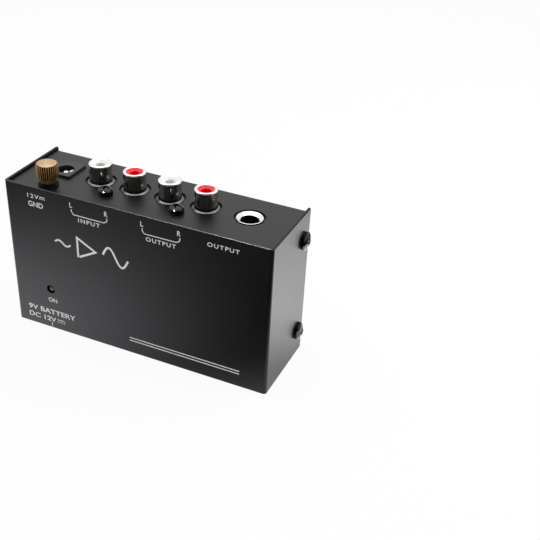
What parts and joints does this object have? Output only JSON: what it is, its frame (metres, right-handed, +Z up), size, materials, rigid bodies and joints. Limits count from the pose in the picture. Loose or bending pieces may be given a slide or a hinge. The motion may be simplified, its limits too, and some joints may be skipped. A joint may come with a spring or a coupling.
{
  "type": "phono preamp",
  "caption": "Small steel-cased phono preamp with RCA jacks, a 6.35 mm jack, a DC inlet, a brass ground thumbscrew, a power light and a slide switch.",
  "frame": {"origin": "centre of the part's footprint, on the surface that it stands on with the jack panel up", "axes": "+X along the case towards the 6.35 mm jack's end, +Y from the label face towards the back, +Z up through the jack panel"},
  "size_m": [0.1084, 0.0346, 0.0664],
  "materials": {
    "black_painted_steel": "satin black powder coat",
    "black_screw": "black oxide, slightly glossy",
    "plated_steel": "bright plating",
    "black_rubber": "matt",
    "black_plastic": "fine moulded grain",
    "plated_shell": "polished nickel",
    "white_plastic": "glossy",
    "red_plastic": "glossy",
    "brass": "turned and knurled",
    "black_washer": "matt fibre",
    "black_wire": "insulated wire",
    "red_wire": "insulated wire",
    "green_lens": "clear green resin, unlit",
    "brown_laminate": "paper laminate",
    "battery_jacket": "printed steel jacket, plain",
    "green_board": "solder resist on glass laminate",
    "chip_black": "moulded epoxy",
    "capacitor_sleeve": "shrink sleeve",
    "capacitor_film": "dipped resin",
    "resistor_body": "lacquered body"
  },
  "bodies": {
    "root": {"battery": "battery_jacket", "battery_box": "black_plastic", "battery_lead_black": "black_wire", "battery_lead_red": "red_wire", "battery_terminals": "plated_steel", "board_screws": "plated_steel", "board_standoffs": "plated_steel", "circuit_board": "green_board", "cover_screws": "black_screw", "dc_inlet_body": "black_plastic", "dc_inlet_pin": "plated_steel", "dc_inlet_spring": "plated_steel", "electrolytic_capacitors": "capacitor_sleeve", "film_capacitors": "capacitor_film", "front_cover": "black_painted_steel", "ground_lug": "plated_steel", "ground_nut": "plated_steel", "ground_wire": "black_wire", "input_jack_block": "black_plastic", "input_left_insert": "white_plastic", "input_left_shell": "plated_shell", "input_right_insert": "red_plastic", "input_right_shell": "plated_shell", "jack_body": "black_plastic", "jack_ferrule": "plated_shell", "jack_springs": "plated_steel", "led_leads": "plated_steel", "led_spacer": "black_plastic", "op_amp": "chip_black", "output_jack_block": "black_plastic", "output_left_insert": "white_plastic", "output_left_shell": "plated_shell", "output_right_insert": "red_plastic", "output_right_shell": "plated_shell", "power_led": "green_lens", "rca_block_screws": "black_screw", "rca_contacts": "plated_steel", "rear_chassis": "black_painted_steel", "resistors": "resistor_body", "rubber_feet": "black_rubber", "snap_contact_plate": "brown_laminate", "snap_contacts": "plated_steel", "switch_base": "brown_laminate", "switch_frame": "plated_steel", "switch_terminals": "plated_steel", "voltage_regulator": "chip_black"},
    "ground_washer": {"ground_washer": "black_washer"},
    "ground_screw": {"ground_thumbscrew": "brass"},
    "power_slider": {"switch_slider": "black_plastic"},
    "battery_lid": {"battery_door": "black_plastic"}
  },
  "joints": [
    {"name": "ground_screw_rise", "type": "slide", "parent": "root", "child": "ground_washer", "axis": [0, 0, 1], "range_m": [0, 0.0042]},
    {"name": "ground_screw_turn", "type": "hinge", "parent": "ground_washer", "child": "ground_screw", "pos_m": [-0.0373, -0.01128, 0.0581], "axis": [0, 0, 1], "range_deg": [0, 2160]},
    {"name": "power_switch", "type": "slide", "parent": "root", "child": "power_slider", "axis": [1, 0, 0], "range_m": [0, 0.003]},
    {"name": "battery_door_hinge", "type": "hinge", "parent": "root", "child": "battery_lid", "pos_m": [-0.0275, 0.01678, 0.02], "axis": [0, 0, 1], "range_deg": [0, 75]}
  ],
  "couplings": [
    {"joint": "ground_screw_turn", "follows": "ground_screw_rise", "rad_per_m": 8976}
  ]
}
